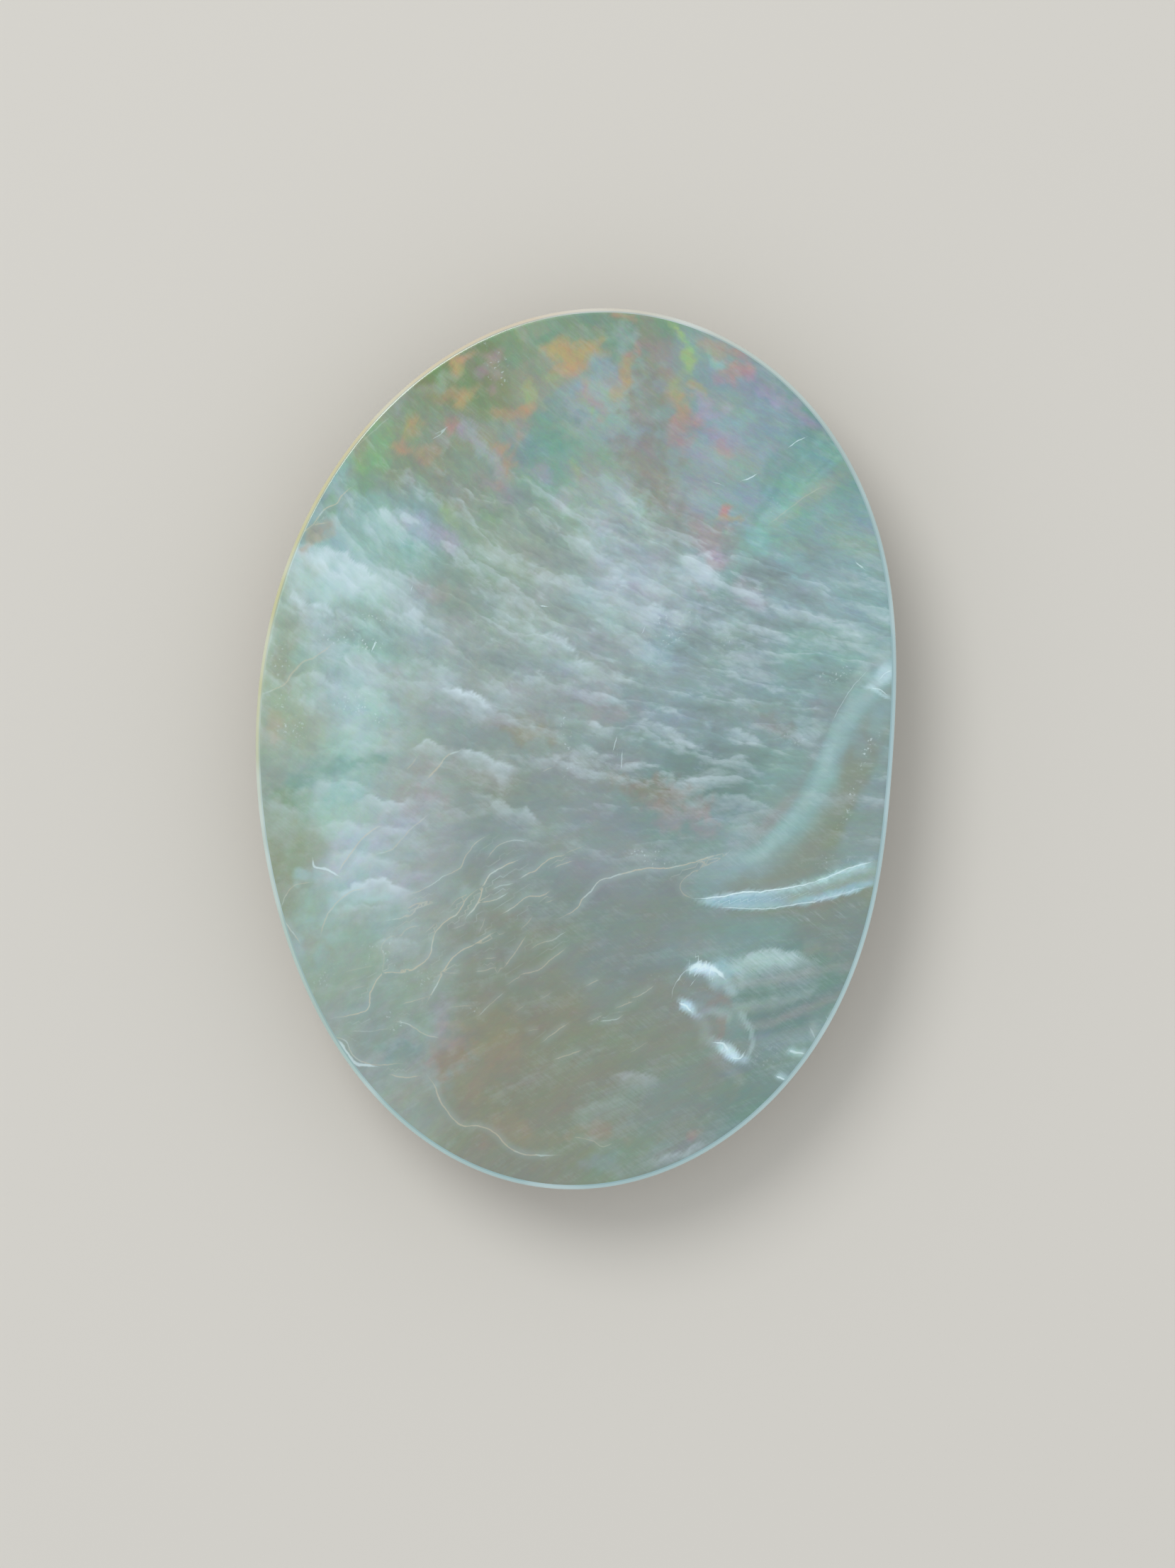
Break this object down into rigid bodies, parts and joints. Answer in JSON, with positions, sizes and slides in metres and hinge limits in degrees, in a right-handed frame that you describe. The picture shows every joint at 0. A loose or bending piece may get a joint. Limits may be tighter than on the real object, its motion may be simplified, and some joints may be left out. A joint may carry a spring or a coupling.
{
  "type": "sew-on shank button",
  "caption": "Large oval mother-of-pearl sew-on button with a polished bevelled face and a brass wire-eye shank cemented into its back.",
  "frame": {"origin": "on the cloth side, at the lowest point of the wire eye, under the centre of the slab's bounding box", "axes": "+Z out of the polished face, Y along the 55 mm length, X across the 40 mm width; the thread passes through the eye along Y"},
  "size_m": [0.04, 0.055, 0.0076],
  "materials": {
    "nacre": "polished mother of pearl, blue-grey with green, gold and pink iridescence",
    "cement": "cured clear-amber epoxy cement",
    "plate_brass": "stamped and lightly brushed, aged",
    "wire_brass": "drawn wire, polished",
    "solder": "dull soft solder"
  },
  "bodies": {
    "root": {"pearl_face": "nacre", "bonding_cement": "cement", "shank_plate": "plate_brass", "wire_eye": "wire_brass", "solder_rings": "solder"}
  },
  "joints": []
}
